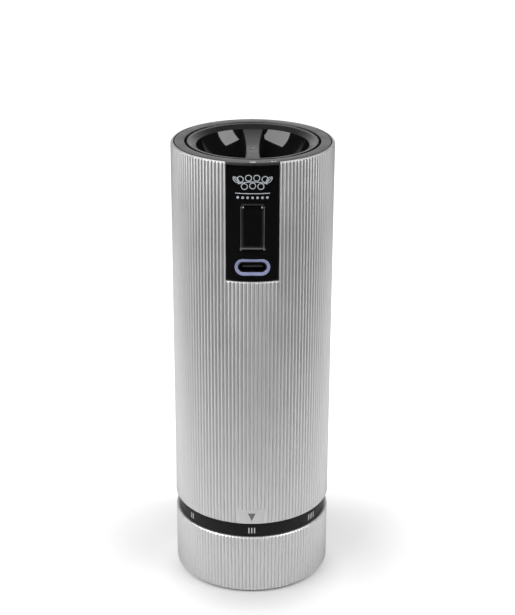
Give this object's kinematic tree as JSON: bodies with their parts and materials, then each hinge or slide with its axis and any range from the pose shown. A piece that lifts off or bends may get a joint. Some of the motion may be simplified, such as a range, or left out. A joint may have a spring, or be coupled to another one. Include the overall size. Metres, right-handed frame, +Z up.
{
  "type": "pepper mill",
  "caption": "Cylindrical rechargeable pepper mill with ribbed metal body, black control panel, turning grind-setting base and a lift-out motor block with a finger grip.",
  "frame": {"origin": "centre of the round foot, on the surface that the mill stands on", "axes": "+Z up along the mill's axis; the control panel faces -Y; +X to the right of the panel as it is looked at"},
  "size_m": [0.052, 0.052, 0.15],
  "materials": {
    "ribbed_aluminium": "satin anodised",
    "gloss_black": "polished",
    "satin_black": "satin, fine texture",
    "moulded_black": "moulded",
    "white_print": "printed",
    "grey_print": "printed",
    "frosted_clear": "clear, lightly frosted",
    "light_guide": "milky",
    "bright_steel": "bright",
    "burr_steel": "ground and hardened",
    "spring_steel": "bright",
    "sintered_bronze": "sintered, oiled",
    "gear_plastic": "moulded acetal",
    "black_rubber": "matt",
    "board_green": "solder resist",
    "chip_black": "moulded",
    "cell_wrap": "shrink sleeve",
    "nickel_strip": "rolled",
    "red_wire": "insulation",
    "black_wire": "insulation",
    "magnet_grey": "sintered",
    "motor_core": "laminated, wound",
    "pinion_brass": "machined"
  },
  "bodies": {
    "mill_body": {"body_sleeve": "ribbed_aluminium", "pointer_mark": "grey_print", "lock_collar": "moulded_black", "pepper_tank": "frosted_clear", "grinder_housing": "moulded_black", "bearing_bridge": "moulded_black", "shaft_bush": "sintered_bronze", "base_retainer": "moulded_black", "retainer_screws": "bright_steel", "detent_spring": "spring_steel"},
    "grind_base": {"base_sleeve": "ribbed_aluminium", "base_core": "moulded_black", "index_ring": "satin_black", "grind_marks": "white_print", "foot_ring": "black_rubber"},
    "ring_carrier": {"burr_carrier": "moulded_black", "burr_ring": "burr_steel", "carrier_pins": "bright_steel"},
    "burr_shaft": {"drive_shaft": "bright_steel", "shaft_clip": "spring_steel", "burr_cone": "burr_steel", "burr_spring": "spring_steel", "burr_nut": "bright_steel"},
    "motor_block": {"motor_block_case": "moulded_black", "seal_ring": "black_rubber", "inner_cover": "moulded_black", "cover_screws": "bright_steel", "top_ring": "satin_black", "ring_marks": "white_print", "control_panel": "gloss_black", "panel_emblem": "white_print", "charge_light_ring": "light_guide", "circuit_board": "board_green", "board_chips": "chip_black", "button_switch": "chip_black", "charge_port_shell": "bright_steel", "charge_port_tongue": "chip_black", "battery_cells": "cell_wrap", "cell_tabs": "nickel_strip", "red_leads": "red_wire", "black_leads": "black_wire", "gearbox_case": "gear_plastic", "gearbox_screws": "bright_steel", "gearbox_cap": "gear_plastic", "motor_can": "bright_steel", "motor_magnets": "magnet_grey", "motor_end_cap": "moulded_black"},
    "button": {"push_button": "gloss_black"},
    "grip": {"twist_grip": "gloss_black", "lock_lugs": "bright_steel"},
    "rotor": {"motor_rotor": "motor_core", "motor_pinion": "pinion_brass"},
    "fast_carrier": {"upper_carrier": "gear_plastic"},
    "fast_planet_a": {"upper_planet_a": "gear_plastic"},
    "fast_planet_b": {"upper_planet_b": "gear_plastic"},
    "fast_planet_c": {"upper_planet_c": "gear_plastic"},
    "slow_carrier": {"output_carrier": "gear_plastic"},
    "slow_planet_a": {"lower_planet_a": "gear_plastic"},
    "slow_planet_b": {"lower_planet_b": "gear_plastic"},
    "slow_planet_c": {"lower_planet_c": "gear_plastic"}
  },
  "joints": [
    {"name": "base_turn", "type": "hinge", "parent": "mill_body", "child": "grind_base", "pos_m": [0, 0, 0.01], "axis": [0, 0, 1], "range_deg": [-159, 106], "deforming": ["detent_spring"]},
    {"name": "ring_rise", "type": "slide", "parent": "mill_body", "child": "ring_carrier", "axis": [0, 0, 1], "range_m": [-0.0004, 0.0006]},
    {"name": "burr_spin", "type": "hinge", "parent": "mill_body", "child": "burr_shaft", "pos_m": [0, 0, 0.02], "axis": [0, 0, 1], "continuous": true},
    {"name": "block_lift", "type": "slide", "parent": "mill_body", "child": "motor_block", "axis": [0, 0, 1], "range_m": [0, 0.085]},
    {"name": "grip_turn", "type": "hinge", "parent": "motor_block", "child": "grip", "pos_m": [0, 0, 0.14], "axis": [0, 0, 1], "range_deg": [0, 15]},
    {"name": "button_press", "type": "slide", "parent": "motor_block", "child": "button", "axis": [0, 1, 0], "range_m": [0, 0.0005], "stiffness_N_per_m": 3000},
    {"name": "output_spin", "type": "hinge", "parent": "motor_block", "child": "slow_carrier", "pos_m": [0, 0, 0.09], "axis": [0, 0, 1], "continuous": true},
    {"name": "fast_carrier_spin", "type": "hinge", "parent": "motor_block", "child": "fast_carrier", "pos_m": [0, 0, 0.098], "axis": [0, 0, 1], "continuous": true},
    {"name": "rotor_spin", "type": "hinge", "parent": "motor_block", "child": "rotor", "pos_m": [0, 0, 0.11], "axis": [0, 0, 1], "continuous": true},
    {"name": "slow_planet_a_spin", "type": "hinge", "parent": "slow_carrier", "child": "slow_planet_a", "pos_m": [0, 0.00607, 0.095], "axis": [0, 0, 1], "continuous": true},
    {"name": "fast_planet_a_spin", "type": "hinge", "parent": "fast_carrier", "child": "fast_planet_a", "pos_m": [0, 0.00607, 0.1014], "axis": [0, 0, 1], "continuous": true},
    {"name": "slow_planet_b_spin", "type": "hinge", "parent": "slow_carrier", "child": "slow_planet_b", "pos_m": [-0.00526, -0.00304, 0.095], "axis": [0, 0, 1], "continuous": true},
    {"name": "fast_planet_b_spin", "type": "hinge", "parent": "fast_carrier", "child": "fast_planet_b", "pos_m": [-0.00526, -0.00304, 0.1014], "axis": [0, 0, 1], "continuous": true},
    {"name": "slow_planet_c_spin", "type": "hinge", "parent": "slow_carrier", "child": "slow_planet_c", "pos_m": [0.00526, -0.00304, 0.095], "axis": [0, 0, 1], "continuous": true},
    {"name": "fast_planet_c_spin", "type": "hinge", "parent": "fast_carrier", "child": "fast_planet_c", "pos_m": [0.00526, -0.00304, 0.1014], "axis": [0, 0, 1], "continuous": true}
  ],
  "couplings": [
    {"joint": "ring_rise", "follows": "base_turn", "m_per_rad": -0.0002},
    {"joint": "output_spin", "follows": "burr_spin", "ratio": 1},
    {"joint": "fast_carrier_spin", "follows": "burr_spin", "ratio": 4.5},
    {"joint": "rotor_spin", "follows": "burr_spin", "ratio": 20.25},
    {"joint": "slow_planet_a_spin", "follows": "burr_spin", "ratio": -2.8},
    {"joint": "fast_planet_a_spin", "follows": "burr_spin", "ratio": -12.6},
    {"joint": "slow_planet_b_spin", "follows": "burr_spin", "ratio": -2.8},
    {"joint": "fast_planet_b_spin", "follows": "burr_spin", "ratio": -12.6},
    {"joint": "slow_planet_c_spin", "follows": "burr_spin", "ratio": -2.8},
    {"joint": "fast_planet_c_spin", "follows": "burr_spin", "ratio": -12.6}
  ]
}
